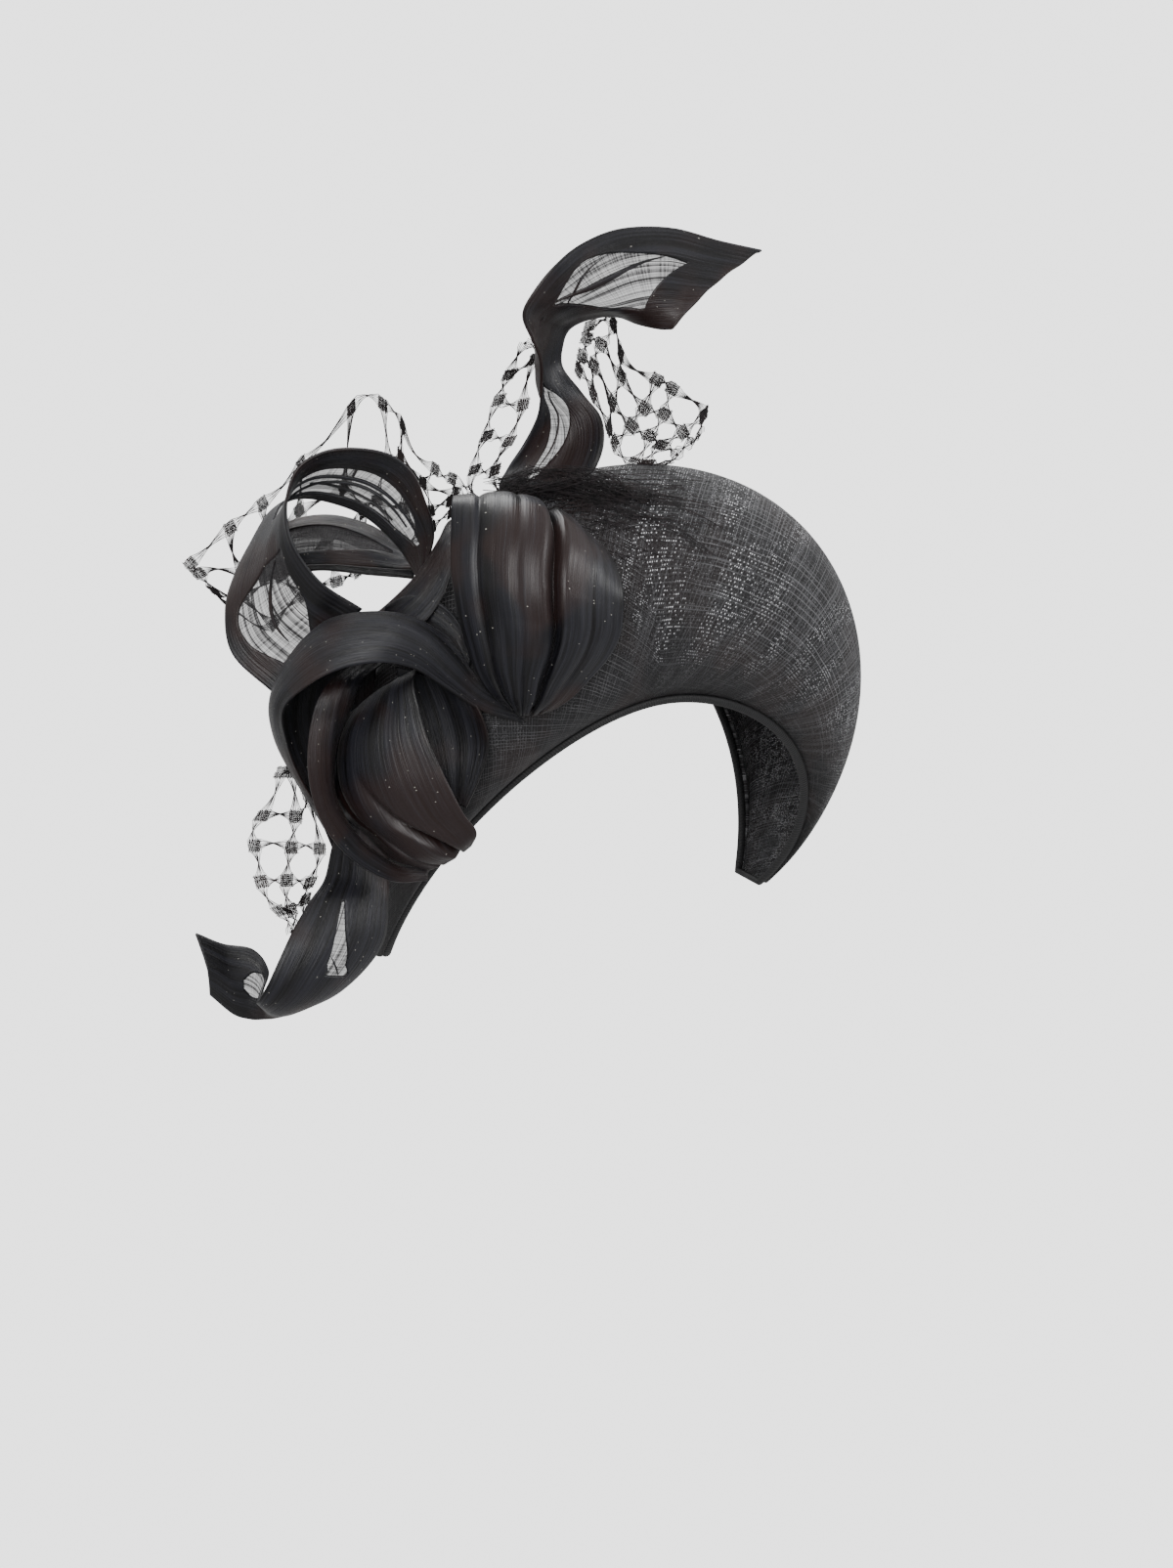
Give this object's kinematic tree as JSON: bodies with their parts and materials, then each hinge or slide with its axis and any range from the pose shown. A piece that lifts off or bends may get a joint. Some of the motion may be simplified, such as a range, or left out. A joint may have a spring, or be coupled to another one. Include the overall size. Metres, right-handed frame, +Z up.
{
  "type": "fascinator",
  "caption": "Halo fascinator: a tall blocked straw band worn over the crown, with silk loops, a rolled rose, curls and open net at one side.",
  "frame": {"origin": "top of the head that the band sits on, between the two ears", "axes": "+Z up out of the head, -Y the way the wearer looks, +X the wearer's left"},
  "size_m": [0.2493, 0.1318, 0.2567],
  "materials": {
    "sinamay_straw": "open weave, sized, with small glints",
    "bias_binding": "plain matt bias strip",
    "silk_abaca": "satin along its fibres, sheer between opaque hems",
    "abaca_net": "open net of thin fibres"
  },
  "bodies": {
    "root": {"straw_band": "sinamay_straw", "edge_binding": "bias_binding", "round_loop": "silk_abaca", "rose_hood": "silk_abaca", "rose_cup": "silk_abaca", "rose_petal": "silk_abaca", "rose_back": "silk_abaca", "rose_wall": "silk_abaca", "root_wrap": "silk_abaca", "upper_loop": "silk_abaca", "side_loop": "silk_abaca", "tall_curl": "silk_abaca", "low_curl": "silk_abaca", "net_left": "abaca_net", "net_loop": "abaca_net", "net_top": "abaca_net", "net_low": "abaca_net"}
  },
  "joints": []
}
